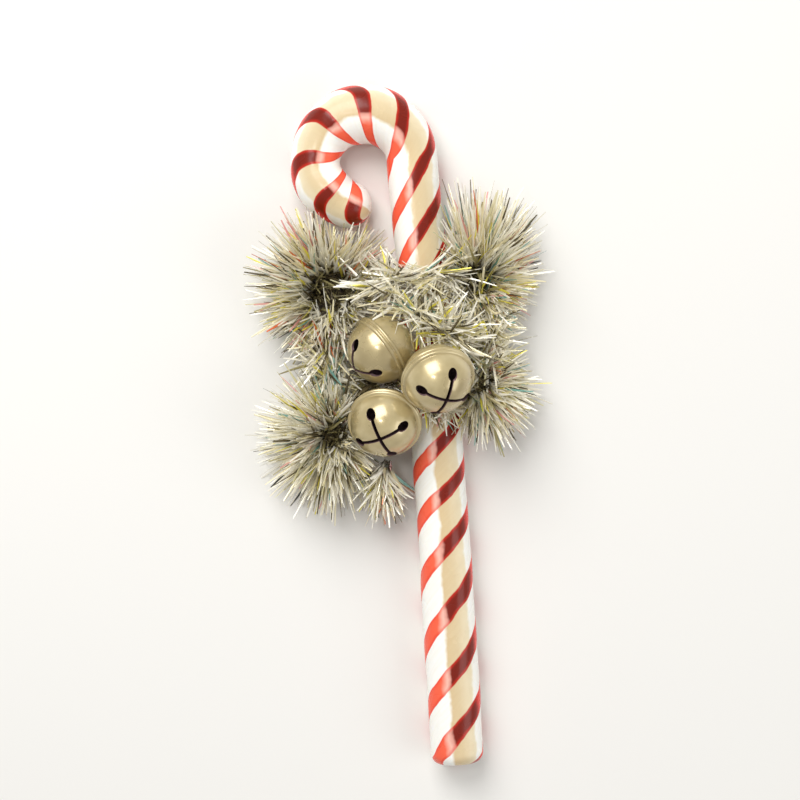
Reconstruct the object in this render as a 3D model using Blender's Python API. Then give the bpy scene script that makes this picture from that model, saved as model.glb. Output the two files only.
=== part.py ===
"""Peppermint candy cane with a tinsel garland bow and three jingle bells tied on below the crook.

The cane lies on its flat underside, crook to the top left, in metres with +Z up. Everything is first drawn about the
tied knot, then the whole is moved so that the origin is the middle of the footprint.
"""

import math

import bmesh
import bpy
import numpy as np
from mathutils import Matrix, Vector

MM = 0.001
CLEARANCE = 0.4 * MM
POCKET_CLEARANCE = 0.9 * MM

# Cane
CANE_TILT = math.radians(4.35)
CROOK_TOP = Vector((7.2, 105.4, 0)) * MM
CROOK_RADIUS = 19.4 * MM
CROOK_SWEEP = math.radians(245)
TIP_TUCK = 1.8 * MM
TUCK_START = 0.7
SHAFT_LENGTH = 237.5 * MM
SHAFT_BOW = 1.4 * MM
FLAT_DEPTH = 0.35 * MM
ROPE_RADII = (
    # (place along the crook as a share of its sweep, rope radius)
    (0.00, 10.1 * MM),
    (0.36, 11.8 * MM),
    (0.70, 10.0 * MM),
    (0.86, 10.5 * MM),
    (1.00, 9.3 * MM),
)
FOOT_RADIUS = 10.5 * MM
FOOT_ROUNDING = 4.5 * MM
CANE_SIDES = 20
CROOK_RINGS = 26
SHAFT_RINGS = 9
CAP_RINGS = 5
CAP_ARC = math.radians(80)
LEAST_FLAT_COSINE = 0.999
CUTTER_HALF_FLAT = math.radians(8)

# Bells
BELL_RADIUS = 13.5 * MM
BELL_WALL = 0.8 * MM
FLANGE_REACH = 0.8 * MM
FLANGE_THICKNESS = 1.0 * MM
SLOT_WIDTH = 1.5 * MM
SLOT_HOLE_RADIUS = 1.9 * MM
SLOT_HALF_ANGLE = math.radians(44)
SLOT_END_POINTS = 9
# A slot's cutter runs from inside the shell to outside it: shares of the bell's radius
SLOT_CUTTER_SPAN = (0.35, 1.2)
BELL_SEGMENTS = 24
BELL_RINGS = 7
CAVITY_SEGMENTS = 16
CAVITY_RINGS = 13
BELLS = {
    # name: (centre in mm, direction of the slotted pole, turn of the slots about it in degrees)
    "bell_upper_left": ((-4.9, 29.1, 26.2), (-0.78, -0.57, 0.26), 48),
    "bell_right": ((17.0, 17.4, 39.6), (0.24, -0.62, 0.75), 53),
    "bell_lower_left": ((-3.6, 0.4, 28.0), (-0.13, -0.48, 0.87), 39),
}

# Tinsel garland
LOOP_SIDES = 24
LOOP_TUBE_SIDES = 12
LOOPS = {
    # name: (middle in mm, half width and half height in mm, hub in mm, hub radius in mm, thickness in mm, seed)
    "tinsel_loop_upper_left": ((-28.6, 56.2), (27.0, 31.0), (-24.8, 50.4), 4.4, 33.0, 1),
    "tinsel_loop_lower_left": ((-30.0, -7.8), (23.4, 29.0), (-26.4, -3.6), 4.2, 31.0, 2),
    "tinsel_loop_upper_right": ((36.4, 66.6), (22.0, 30.0), (33.6, 57.2), 3.8, 32.0, 3),
    "tinsel_loop_lower_right": ((38.4, 11.4), (19.0, 23.0), (34.2, 15.2), 3.4, 30.0, 4),
}
LUMP_SHARE = 0.05
# A loop's cross-section: how boxy it is, how high its widest level is, and how much its thickness varies
TUBE_SQUARENESS = 0.8
TUBE_WIDEST_SHARE = 0.42
TUBE_EVEN_SHARE = 0.94
# The ground flat of a loop's cutter lies below the ground, so that no sliver is left there
CUTTER_SINK = 1.0 * MM
MOUND_SIDES = 20
MOUND_RINGS = 5
MOUND_SQUARENESS = 0.7
TIE_MIDDLE = (9.4, 24.0)
TIE_HALF_SIZE = (19.4, 39.0)
TIE_HEIGHT = 29.0 * MM
TAIL_MIDDLE = (-4.6, -25.0)
TAIL_HALF_SIZE = (9.6, 13.4)
TAIL_HEIGHT = 21.0 * MM


def material(name, colour, roughness, metallic=0.0):
    made = bpy.data.materials.new(name)
    made.use_nodes = True
    shader = made.node_tree.nodes["Principled BSDF"]
    shader.inputs["Base Color"].default_value = (*colour, 1.0)
    shader.inputs["Roughness"].default_value = roughness
    shader.inputs["Metallic"].default_value = metallic
    return made


def mesh_object(name, bm, finish=None, cutter=False):
    """A new object from bm, its faces turned outwards and its curves shaded smooth."""
    bmesh.ops.recalc_face_normals(bm, faces=bm.faces)
    mesh = bpy.data.meshes.new(name)
    bm.to_mesh(mesh)
    bm.free()
    obj = bpy.data.objects.new(name, mesh)
    bpy.context.scene.collection.objects.link(obj)
    mesh.shade_smooth()
    mesh.set_sharp_from_angle(angle=math.radians(40))
    if finish:
        mesh.materials.append(finish)
    if cutter:
        obj.hide_render = True
        obj.display_type = "WIRE"
    return obj


def cut(obj, cutter):
    modifier = obj.modifiers.new(f"cut_{cutter.name}", "BOOLEAN")
    modifier.operation = "DIFFERENCE"
    modifier.solver = "EXACT"
    modifier.object = cutter


def skin_rings(bm, rings):
    """Faces between each ring of points and the next, and a flat face on each end ring."""
    rows = [[bm.verts.new(point) for point in ring] for ring in rings]
    for row, following in zip(rows, rows[1:]):
        for i in range(len(row)):
            j = (i + 1) % len(row)
            bm.faces.new((row[i], row[j], following[j], following[i]))
    bm.faces.new(rows[0])
    bm.faces.new(rows[-1][::-1])


def eased(share):
    """A share from 0 to 1 that starts and ends gently."""
    return (1 - math.cos(math.pi * min(1.0, max(0.0, share)))) / 2


def rope_radius(share):
    """The rope's radius at a share of the crook's sweep, eased between the named places."""
    for (start, first), (end, second) in zip(ROPE_RADII, ROPE_RADII[1:]):
        if share <= end:
            return first + (second - first) * eased((share - start) / (end - start))
    return ROPE_RADII[-1][1]


def cane_stations():
    """(point on the rope's axis, direction along it, radius) from the foot to the crook's tip."""
    stations = []
    for i in range(SHAFT_RINGS):
        share = i / SHAFT_RINGS
        sideways = SHAFT_BOW * math.sin(math.pi * share)
        lean = math.atan(SHAFT_BOW * math.pi * math.cos(math.pi * share) / SHAFT_LENGTH)
        along = Vector((math.sin(lean), math.cos(lean), 0))
        radius = FOOT_RADIUS + (ROPE_RADII[0][1] - FOOT_RADIUS) * share
        stations.append((Vector((sideways, SHAFT_LENGTH * (share - 1), 0)), along, radius))
    middle = Vector((-CROOK_RADIUS, 0, 0))
    for i in range(CROOK_RINGS + 1):
        share = i / CROOK_RINGS
        angle = CROOK_SWEEP * share
        radial = Vector((math.cos(angle), math.sin(angle), 0))
        along = Vector((-math.sin(angle), math.cos(angle), 0))
        tucked = CROOK_RADIUS - TIP_TUCK * eased((share - TUCK_START) / (1 - TUCK_START))
        stations.append((middle + radial * tucked, along, rope_radius(share)))
    return stations


def rope_ring(point, along, radius, axis_height, clearance):
    """One ring of the rope, its underside cut off flat on the ground."""
    outward = along.cross(Vector((0, 0, 1)))
    grown = radius + clearance
    half_flat = CUTTER_HALF_FLAT if clearance else math.acos(min(LEAST_FLAT_COSINE, axis_height / grown))
    step = (2 * math.pi - 2 * half_flat) / (CANE_SIDES - 1)
    ring = []
    for i in range(CANE_SIDES):
        angle = -math.pi / 2 + half_flat + step * i
        height = axis_height + grown * math.sin(angle)
        ring.append(point + outward * (grown * math.cos(angle)) + Vector((0, 0, height)))
    return ring


def cap_rings(station, depth, direction, clearance):
    """Rings that round off an end, each smaller and further out along the rope than the last."""
    point, along, radius = station
    rings = []
    for i in range(1, CAP_RINGS + 1):
        angle = CAP_ARC * i / CAP_RINGS
        reach = point + along * (direction * (depth + clearance) * math.sin(angle))
        size = radius - depth * (1 - math.cos(angle))
        rings.append(rope_ring(reach, along, size, radius - FLAT_DEPTH, clearance))
    return rings


def cane_mesh(clearance=0.0):
    stations = cane_stations()
    rings = [rope_ring(*station, station[2] - FLAT_DEPTH, clearance) for station in stations]
    foot = cap_rings(stations[0], FOOT_ROUNDING, -1, clearance)
    tip = cap_rings(stations[-1], stations[-1][2], 1, clearance)
    bm = bmesh.new()
    skin_rings(bm, foot[::-1] + rings + tip)
    place = Matrix.Translation(CROOK_TOP) @ Matrix.Rotation(CANE_TILT, 4, "Z")
    bmesh.ops.transform(bm, matrix=place, verts=bm.verts)
    return bm


def bell_profile(outer, inner):
    """Half outlines of the shell's outside with its flange and of its cavity, both from pole to pole."""
    outline = []
    band = math.asin(FLANGE_THICKNESS / 2 / outer)
    for i in range(BELL_RINGS):
        angle = math.pi / 2 - (math.pi / 2 - band) * i / (BELL_RINGS - 1)
        outline.append((outer * math.cos(angle), outer * math.sin(angle)))
    outline.append((outer + FLANGE_REACH, FLANGE_THICKNESS / 2))
    outline += [(x, -z) for x, z in outline[::-1]]
    angles = np.linspace(math.pi / 2, -math.pi / 2, CAVITY_RINGS)
    return outline, [(inner * math.cos(angle), inner * math.sin(angle)) for angle in angles]


def turned(outline, segments):
    """A closed turned shape from a half outline that starts and ends on the axis."""
    bm = bmesh.new()
    top = bm.verts.new((0, 0, outline[0][1]))
    bottom = bm.verts.new((0, 0, outline[-1][1]))
    rows = []
    for x, z in outline[1:-1]:
        angles = [2 * math.pi * i / segments for i in range(segments)]
        rows.append([bm.verts.new((x * math.cos(a), x * math.sin(a), z)) for a in angles])
    for i in range(segments):
        j = (i + 1) % segments
        bm.faces.new((top, rows[0][i], rows[0][j]))
        bm.faces.new((bottom, rows[-1][j], rows[-1][i]))
        for row, following in zip(rows, rows[1:]):
            bm.faces.new((row[i], following[i], following[j], row[j]))
    return bm


def bell_place(centre, pole, turn):
    """The placing matrix that turns +Z onto the slotted pole."""
    facing = Vector(pole).normalized().to_track_quat("Z", "Y").to_matrix().to_4x4()
    return Matrix.Translation(Vector(centre) * MM) @ facing @ Matrix.Rotation(math.radians(turn), 4, "Z")


def slot_cutter(name, angle):
    """A slot that crosses the pole from end hole to end hole, as one closed prism with round ends."""
    reach = BELL_RADIUS * math.sin(SLOT_HALF_ANGLE)
    half = SLOT_WIDTH / 2
    neck = math.asin(half / SLOT_HOLE_RADIUS)
    outline = []
    for side in (1, -1):
        for i in range(SLOT_END_POINTS):
            turn = -math.pi + neck + (2 * math.pi - 2 * neck) * i / (SLOT_END_POINTS - 1)
            x = side * (reach + SLOT_HOLE_RADIUS * math.cos(turn))
            outline.append((x, side * SLOT_HOLE_RADIUS * math.sin(turn)))
    bm = bmesh.new()
    low, high = (BELL_RADIUS * share for share in SLOT_CUTTER_SPAN)
    floor = [bm.verts.new((x, y, low)) for x, y in outline]
    roof = [bm.verts.new((x, y, high)) for x, y in outline]
    for i in range(len(outline)):
        j = (i + 1) % len(outline)
        bm.faces.new((floor[i], floor[j], roof[j], roof[i]))
    bm.faces.new(floor[::-1])
    bm.faces.new(roof)
    bmesh.ops.rotate(bm, verts=bm.verts, cent=(0, 0, 0), matrix=Matrix.Rotation(angle, 3, "Z"))
    return mesh_object(name, bm, cutter=True)


def bells(finish):
    """Each bell is a hollow stamped shell with a rolled flange and two crossing slots."""
    shell, hollow = bell_profile(BELL_RADIUS, BELL_RADIUS - BELL_WALL)
    cavity = mesh_object("cavity", turned(hollow, CAVITY_SEGMENTS), cutter=True)
    slots = [slot_cutter(f"slot_{i}", math.pi / 2 * i) for i in range(2)]
    made = []
    for name, (centre, pole, turn) in BELLS.items():
        bell = mesh_object(name, turned(shell, BELL_SEGMENTS), finish)
        place = bell_place(centre, pole, turn)
        bell.matrix_world = place
        for cutter in (cavity, *slots):
            own = cutter.copy()
            own.name = f"{cutter.name}_{name}"
            own.matrix_world = place
            bpy.context.scene.collection.objects.link(own)
            cut(bell, own)
        made.append(bell)
    for cutter in (cavity, *slots):
        bpy.data.objects.remove(cutter)
    return made


def bell_pocket(name, centre):
    """A sphere that clears a bell and its flange."""
    bm = bmesh.new()
    room = BELL_RADIUS + FLANGE_REACH + POCKET_CLEARANCE
    bmesh.ops.create_uvsphere(bm, u_segments=16, v_segments=10, radius=room)
    bmesh.ops.translate(bm, verts=bm.verts, vec=Vector(centre) * MM)
    return mesh_object(name, bm, cutter=True)


def lumps(angle, seed):
    """A smooth uneven factor around 1 for the tinsel's outline."""
    waves = sum(math.sin(angle * n + seed * (n + 1.7)) / n for n in (3, 5, 7))
    return 1 + LUMP_SHARE * waves


def boxy(share):
    """A sine or cosine pushed outwards, so that a round cross-section turns a little square."""
    return math.copysign(abs(share) ** TUBE_SQUARENESS, share)


def loop_mesh(middle, half_size, hub, hub_radius, thickness, seed, clearance=0.0):
    """A lumpy flattened ring of tinsel, round its hub hole and flat where it lies on the ground."""
    height = thickness * MM + clearance
    bm = bmesh.new()
    rows = []
    for i in range(LOOP_SIDES):
        angle = 2 * math.pi * i / LOOP_SIDES
        direction = Vector((math.cos(angle), math.sin(angle), 0))
        grown = lumps(angle, seed)
        outer = Vector(
            (
                middle[0] * MM + (half_size[0] * MM * grown + clearance) * direction.x,
                middle[1] * MM + (half_size[1] * MM * grown + clearance) * direction.y,
                0,
            )
        )
        inner = Vector((*hub, 0)) * MM + direction * (hub_radius * MM - clearance)
        rows.append([])
        for j in range(LOOP_TUBE_SIDES):
            turn = 2 * math.pi * j / LOOP_TUBE_SIDES
            across = (1 + boxy(math.cos(turn))) / 2
            point = inner.lerp(outer, across)
            uneven = TUBE_EVEN_SHARE + (1 - TUBE_EVEN_SHARE) * lumps(angle * 2, seed)
            level = TUBE_WIDEST_SHARE + (1 - TUBE_WIDEST_SHARE) * boxy(math.sin(turn)) * uneven
            point.z = max(0.0, height * level)
            if clearance:
                point.z = point.z or -CUTTER_SINK
            rows[-1].append(bm.verts.new(point))
    for i in range(LOOP_SIDES):
        row, following = rows[i], rows[(i + 1) % LOOP_SIDES]
        for j in range(LOOP_TUBE_SIDES):
            k = (j + 1) % LOOP_TUBE_SIDES
            bm.faces.new((row[j], row[k], following[k], following[j]))
    return bm


def mound_mesh(middle, half_size, height, seed):
    """A lumpy mound of tinsel that stands on the ground."""
    bm = bmesh.new()
    rows = []
    for j in range(MOUND_RINGS):
        up = math.pi / 2 * j / MOUND_RINGS
        row = []
        for i in range(MOUND_SIDES):
            angle = 2 * math.pi * i / MOUND_SIDES
            spread = math.cos(up) ** MOUND_SQUARENESS * lumps(angle, seed)
            x = middle[0] + half_size[0] * spread * math.cos(angle)
            y = middle[1] + half_size[1] * spread * math.sin(angle)
            row.append(bm.verts.new((x * MM, y * MM, height * math.sin(up))))
        rows.append(row)
    top = bm.verts.new((middle[0] * MM, middle[1] * MM, height))
    for row, following in zip(rows, rows[1:]):
        for i in range(MOUND_SIDES):
            j = (i + 1) % MOUND_SIDES
            bm.faces.new((row[i], row[j], following[j], following[i]))
    for i in range(MOUND_SIDES):
        bm.faces.new((rows[-1][i], rows[-1][(i + 1) % MOUND_SIDES], top))
    bm.faces.new(rows[0][::-1])
    bmesh.ops.rotate(
        bm, verts=bm.verts, cent=Vector((*middle, 0)) * MM, matrix=Matrix.Rotation(CANE_TILT, 3, "Z")
    )
    return bm


def garland(finish):
    """Four loops, the tie over the shaft and the short tail, each cut clear of what it lies against."""
    cane_room = mesh_object("cane_room", cane_mesh(CLEARANCE), cutter=True)
    pockets = [bell_pocket(f"pocket_{name}", facts[0]) for name, facts in BELLS.items()]
    rooms = []
    made = []
    for name, facts in LOOPS.items():
        loop = mesh_object(name, loop_mesh(*facts), finish)
        for cutter in (cane_room, *pockets, *rooms):
            cut(loop, cutter)
        rooms.append(mesh_object(f"room_{name}", loop_mesh(*facts, clearance=CLEARANCE), cutter=True))
        made.append(loop)
    tie = mesh_object("tinsel_tie", mound_mesh(TIE_MIDDLE, TIE_HALF_SIZE, TIE_HEIGHT, 5), finish)
    tail = mesh_object("tinsel_tail", mound_mesh(TAIL_MIDDLE, TAIL_HALF_SIZE, TAIL_HEIGHT, 6), finish)
    tie_room = mesh_object(
        "tie_room",
        mound_mesh(TIE_MIDDLE, [side + CLEARANCE / MM for side in TIE_HALF_SIZE], TIE_HEIGHT + CLEARANCE, 5),
        cutter=True,
    )
    for cutter in (cane_room, *pockets, *rooms):
        cut(tie, cutter)
    for cutter in (cane_room, *pockets, *rooms, tie_room):
        cut(tail, cutter)
    return [*made, tie, tail]


def centre_on_origin(nodes):
    """Moves everything so that the footprint's middle is the origin and the ground is at zero."""
    bpy.context.view_layer.update()
    graph = bpy.context.evaluated_depsgraph_get()
    corners = []
    for node in nodes:
        seen = node.evaluated_get(graph)
        corners += [seen.matrix_world @ vertex.co for vertex in seen.data.vertices]
    low = Vector(min(corner[axis] for corner in corners) for axis in range(3))
    high = Vector(max(corner[axis] for corner in corners) for axis in range(3))
    shift = Vector((-(low.x + high.x) / 2, -(low.y + high.y) / 2, -low.z))
    for obj in bpy.context.scene.objects:
        obj.matrix_world = Matrix.Translation(shift) @ obj.matrix_world


def main():
    for obj in list(bpy.data.objects):
        bpy.data.objects.remove(obj)
    sugar = material("pulled sugar", (0.93, 0.87, 0.76), 0.25)
    brass = material("brass plated steel", (0.45, 0.36, 0.2), 0.3, 1.0)
    foil = material("tinsel foil", (0.75, 0.7, 0.52), 0.35, 0.6)
    cane = mesh_object("cane", cane_mesh(), sugar)
    nodes = [cane, *bells(brass), *garland(foil)]
    centre_on_origin(nodes)


main()
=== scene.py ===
"""Looks of a hooked peppermint candy cane with a tinsel bow and three jingle bells, laid out as an add-on.

Each operator makes one piece, or one group of like pieces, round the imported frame. Sizes are in metres.
"""

import math
from functools import partial

import bmesh
import bpy
import numpy as np
from mathutils import Matrix, Vector


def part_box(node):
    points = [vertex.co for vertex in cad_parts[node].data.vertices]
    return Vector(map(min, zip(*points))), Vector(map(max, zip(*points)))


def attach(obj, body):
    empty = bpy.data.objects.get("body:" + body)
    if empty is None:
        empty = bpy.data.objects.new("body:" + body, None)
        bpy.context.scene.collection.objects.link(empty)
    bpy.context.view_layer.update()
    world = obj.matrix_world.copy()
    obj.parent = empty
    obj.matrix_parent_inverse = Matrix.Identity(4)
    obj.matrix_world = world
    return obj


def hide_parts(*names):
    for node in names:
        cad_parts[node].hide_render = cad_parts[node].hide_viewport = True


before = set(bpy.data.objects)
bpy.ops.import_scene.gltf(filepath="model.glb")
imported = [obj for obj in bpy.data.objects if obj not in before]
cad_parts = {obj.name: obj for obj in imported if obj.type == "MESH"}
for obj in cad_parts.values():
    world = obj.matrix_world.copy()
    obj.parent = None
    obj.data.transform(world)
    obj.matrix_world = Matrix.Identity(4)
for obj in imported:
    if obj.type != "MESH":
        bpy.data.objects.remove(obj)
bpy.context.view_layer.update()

bl_info = {
    "name": "Decorated Candy Cane",
    "version": (1, 0, 0),
    "blender": (4, 5, 0),
    "location": "3D View > Sidebar > Candy Cane",
    "description": "Makes a striped candy cane with its tinsel bow, jingle bells and studio",
    "category": "Object",
}

MM = 0.001
UP = Vector((0, 0, 1))

# Node kinds that are used often
MATH = "ShaderNodeMath"
VECTOR_MATH = "ShaderNodeVectorMath"
COMBINE = "ShaderNodeCombineXYZ"
SEPARATE = "ShaderNodeSeparateXYZ"
MAP_RANGE = "ShaderNodeMapRange"
NOISE = "ShaderNodeTexNoise"
RAMP = "ShaderNodeValToRGB"
MIX = "ShaderNodeMix"
BUMP = "ShaderNodeBump"
PLACE = "ShaderNodeTexCoord"
RANDOM = "FunctionNodeRandomValue"
READ = "GeometryNodeInputNamedAttribute"
STORE = "GeometryNodeStoreNamedAttribute"
SET_POSITION = "GeometryNodeSetPosition"

# The cane's form, as its solid has it
CANE_TILT = math.radians(4.35)
CROOK_TOP = Vector((7.2, 105.4, 0)) * MM
CROOK_RADIUS = 19.4 * MM
CROOK_SWEEP = math.radians(245)
TIP_TUCK = 1.8 * MM
TUCK_START = 0.7
SHAFT_LENGTH = 237.5 * MM
SHAFT_BOW = 1.4 * MM
FLAT_DEPTH = 0.35 * MM
ROPE_RADII = (
    # (place along the crook as a share of its sweep, rope radius)
    (0.00, 10.1 * MM),
    (0.36, 11.8 * MM),
    (0.70, 10.0 * MM),
    (0.86, 10.5 * MM),
    (1.00, 9.3 * MM),
)
FOOT_RADIUS = 10.5 * MM
FOOT_ROUNDING = 4.5 * MM
CANE_SIDES = 72
CROOK_RINGS = 130
SHAFT_RINGS = 170
CAP_RINGS = 12

# Hand twisting is uneven: the rise in mm from one stripe's crossing of the top line to the next, foot to tip
FIRST_CROSSING = -230.3 * MM
STRIPE_RISES = (
    *(22.7, 25.9, 25.4, 20.9, 18.5, 21.4, 21.4, 21.4),
    *(21.4, 20.1, 22.6, 15.9, 15.2, 14.6, 16.3, 11.5),
)
STRIPES = 3
TOP_LINE_TURN = 0.814
# How far a stripe strays from a plain helix on the upper side: (way along the rope in mm, lean, sway)
STRIPE_LEANS = (
    (-240.0, -0.05, 0.0),
    (-110.0, -0.04, 0.0),
    (-80.0, 0.12, 0.0),
    (0.0, 0.14, 0.0),
    (14.0, 0.04, -0.04),
    (27.0, -0.16, -0.11),
    (42.0, -0.18, -0.13),
    (90.0, -0.18, -0.13),
)
# A place on the rope, as (way round, crossings), midway between two stripes: the snapped end is plain
WHITE_PLACE = (0.35, 0.264)
HALF_BAND = 0.175
STRIPE_RELIEF = 0.16 * MM
SMOOTHING_REACH = 9

# Bells: centre in mm, direction of the slotted pole, turn of the slots about it in degrees
BELLS = {
    "bell_upper_left": ((-4.9, 29.1, 26.2), (-0.78, -0.57, 0.26), 48),
    "bell_right": ((17.0, 17.4, 39.6), (0.24, -0.62, 0.75), 53),
    "bell_lower_left": ((-3.6, 0.4, 28.0), (-0.13, -0.48, 0.87), 39),
}
BELL_RADIUS = 13.5 * MM
BELL_WALL = 0.8 * MM
BEAD_REACH = 1.05 * MM
BEAD_RADIUS = 0.78 * MM
BEAD_OFFSET = 0.92 * MM
SLOT_HALF_ANGLE = math.radians(44)

# Tinsel loops: where the hub lies across and along the loop's box, how far strands overhang it in mm, how far
# out its wire runs as a share of the way to its outline, the range of its strands' tones, and the seed
LOOPS = {
    "tinsel_loop_upper_left": ((0.575, 0.407), 1.8, 0.19, (0.02, 1.0), 11),
    "tinsel_loop_lower_left": ((0.64, 0.55), 1.4, 0.07, (0.0, 0.98), 12),
    "tinsel_loop_upper_right": ((0.375, 0.30), -0.6, 0.12, (0.12, 1.0), 13),
    "tinsel_loop_lower_right": ((0.335, 0.65), -1.0, 0.12, (0.06, 1.0), 14),
}
# The garland's runs between the loops: points in mm, the strands' reach in mm, their tones, and the seed
BRIDGES = {
    "over_shaft": (
        ((-7, 52, 21), (0, 56, 25), (9, 58, 26), (18, 60, 23), (24, 59, 18)),
        *(19, (0.0, 0.97), 31),
    ),
    "behind_bells": (((2, 47, 25), (12, 41, 26), (21, 35, 25), (29, 28, 19)), 19, (0.0, 0.97), 32),
    "left_side": (((-25, 36, 13), (-27, 25, 13), (-24, 13, 13)), 19, (0.0, 1.0), 33),
    "right_side": (((32, 50, 13), (38, 40, 13), (38, 30, 13), (34, 20, 13)), 17, (0.0, 1.0), 34),
    "under_bells": (((8, 8, 24), (16, 5, 25), (24, 6, 22)), 10, (0.0, 1.0), 35),
    # Painted shadow: the run between the bells has only khaki and umber strands
    "between_bells": (((-13, 16, 15), (-5, 15, 22), (4, 14, 23)), 9, (0.79, 0.9), 36),
}

# The height at which the camera's view width is measured
SUBJECT_HEIGHT = 10 * MM

# A loop's dark heart
HEART_LOWEST = 0.3 * MM
HEART_MIDDLE = 7.0 * MM
HEART_HALF_HEIGHT = 7.5 * MM


def linear(hex_colour):
    """A linear RGBA tuple from an sRGB hex colour such as #F4E8C8."""
    shares = [int(hex_colour[i : i + 2], 16) / 255 for i in (1, 3, 5)]
    return (*[s / 12.92 if s <= 0.04045 else ((s + 0.055) / 1.055) ** 2.4 for s in shares], 1.0)


def add_node(tree, kind, inputs=(), stops=(), **settings):
    """Adds a node. Its inputs are given by name or in their order, as values, sockets or whole nodes.

    The stops of a Color Ramp are (position, hex colour) pairs.
    """
    made = tree.nodes.new(kind)
    for name, value in settings.items():
        setattr(made, name, value)
    usable = [socket for socket in made.inputs if socket.enabled]
    if isinstance(inputs, dict):
        by_name = {socket.name: socket for socket in usable}
        pairs = [(by_name[name], value) for name, value in inputs.items()]
    else:
        pairs = zip(usable, inputs)
    for socket, value in pairs:
        if isinstance(value, bpy.types.Node):
            value = next(output for output in value.outputs if output.enabled)
        if isinstance(value, bpy.types.NodeSocket):
            tree.links.new(value, socket)
        else:
            socket.default_value = value
    for i, (position, colour) in enumerate(stops):
        stop = made.color_ramp.elements[i] if i < 2 else made.color_ramp.elements.new(position)
        stop.position, stop.color = position, linear(colour)
    return made


def new_material(name):
    """An empty node material: its tree and its Principled shader."""
    made = bpy.data.materials.new(name)
    made.use_nodes = True
    return made, made.node_tree, made.node_tree.nodes["Principled BSDF"]


def fill_sockets(shader, values):
    """Sets the shader's values that are the same all over the surface."""
    for name, value in values.items():
        shader.inputs[name].default_value = value


def eased(share):
    """A share from 0 to 1 that starts and ends gently."""
    return (1 - math.cos(math.pi * min(1.0, max(0.0, share)))) / 2


def settings():
    return bpy.context.scene.candy_cane


def finish_piece(name, mesh, material, replaced):
    """Links a finished mesh as a piece that stands for CAD nodes and rides on the one body."""
    obj = bpy.data.objects.new(name, mesh)
    bpy.context.scene.collection.objects.link(obj)
    mesh.materials.clear()
    mesh.materials.append(material)
    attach(obj, "root")
    if replaced:
        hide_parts(*replaced)


def evaluated_mesh(obj):
    """The plain mesh that an object's modifiers make of it."""
    bpy.context.view_layer.update()
    return bpy.data.meshes.new_from_object(obj.evaluated_get(bpy.context.evaluated_depsgraph_get()))


# ---------------------------------------------------------------- cane


def rope_radius(share):
    """The rope's radius at a share of the crook's sweep, eased between the named places."""
    for (start, first), (end, second) in zip(ROPE_RADII, ROPE_RADII[1:]):
        if share <= end:
            return first + (second - first) * eased((share - start) / (end - start))
    return ROPE_RADII[-1][1]


def cane_stations():
    """(point, direction, radius, axis height, way along from the crook's start), from foot to tip."""
    stations = []
    for i in range(SHAFT_RINGS):
        share = i / SHAFT_RINGS
        sideways = SHAFT_BOW * math.sin(math.pi * share)
        lean = math.atan(SHAFT_BOW * math.pi * math.cos(math.pi * share) / SHAFT_LENGTH)
        radius = FOOT_RADIUS + (ROPE_RADII[0][1] - FOOT_RADIUS) * share
        way = SHAFT_LENGTH * (share - 1)
        along = Vector((math.sin(lean), math.cos(lean), 0))
        stations.append((Vector((sideways, way, 0)), along, radius, radius - FLAT_DEPTH, way))
    middle = Vector((-CROOK_RADIUS, 0, 0))
    for i in range(CROOK_RINGS + 1):
        share = i / CROOK_RINGS
        angle = CROOK_SWEEP * share
        radial = Vector((math.cos(angle), math.sin(angle), 0))
        along = Vector((-math.sin(angle), math.cos(angle), 0))
        tucked = CROOK_RADIUS - TIP_TUCK * eased((share - TUCK_START) / (1 - TUCK_START))
        radius = rope_radius(share)
        way = CROOK_RADIUS * angle
        stations.append((middle + radial * tucked, along, radius, radius - FLAT_DEPTH, way))
    foot = capped(stations[0], FOOT_ROUNDING, -1)
    tip = capped(stations[-1], stations[-1][2], 1)
    return foot[::-1] + stations + tip


def capped(station, depth, direction):
    """Stations that round off an end, each smaller and further out than the last."""
    point, along, radius, axis_height, way = station
    made = []
    for i in range(1, CAP_RINGS + 1):
        angle = math.radians(88) * i / CAP_RINGS
        out = direction * depth * math.sin(angle)
        size = radius - depth * (1 - math.cos(angle))
        made.append((point + along * out, along, size, axis_height, way + out))
    return made


def crossings_below(way):
    """How many stripes have crossed the top line below this place on the rope, with the part of the next."""
    crossings = np.concatenate([[0.0], np.cumsum(STRIPE_RISES)]) * MM + FIRST_CROSSING
    if way < crossings[0]:
        return (way - crossings[0]) / (STRIPE_RISES[0] * MM)
    if way > crossings[-1]:
        return len(STRIPE_RISES) + (way - crossings[-1]) / (STRIPE_RISES[-1] * MM)
    return float(np.interp(way, crossings, range(len(crossings))))


def smooth_crossings(stations):
    """The crossings below each station, averaged over neighbours so that no stripe has a kink."""
    raw = np.array([crossings_below(station[4]) for station in stations])
    steps = np.arange(1, SMOOTHING_REACH + 1)
    before = raw[0] - (raw[1] - raw[0]) * steps[::-1]
    after = raw[-1] + (raw[-1] - raw[-2]) * steps
    window = np.ones(2 * SMOOTHING_REACH + 1)
    return np.convolve(np.concatenate([before, raw, after]), window / window.size, mode="valid")


def leaned(crossings, way, turn_share):
    """The crossings at a place round the rope: the stripes lean more, or less, than a helix there."""
    ways, leans, sways = zip(*STRIPE_LEANS)
    lean, sway = np.interp(way / MM, ways, leans), np.interp(way / MM, ways, sways)
    from_top = 2 * math.pi * (turn_share - 0.25)
    return crossings + float(lean) * math.sin(from_top) + float(sway) * math.sin(2 * from_top)


def stripe_distance(turn_share, crossings):
    """How far a point lies from the nearest stripe's middle, as a share of the stripes' spacing."""
    phase = STRIPES * turn_share + crossings - TOP_LINE_TURN
    return abs(phase - round(phase))


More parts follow.
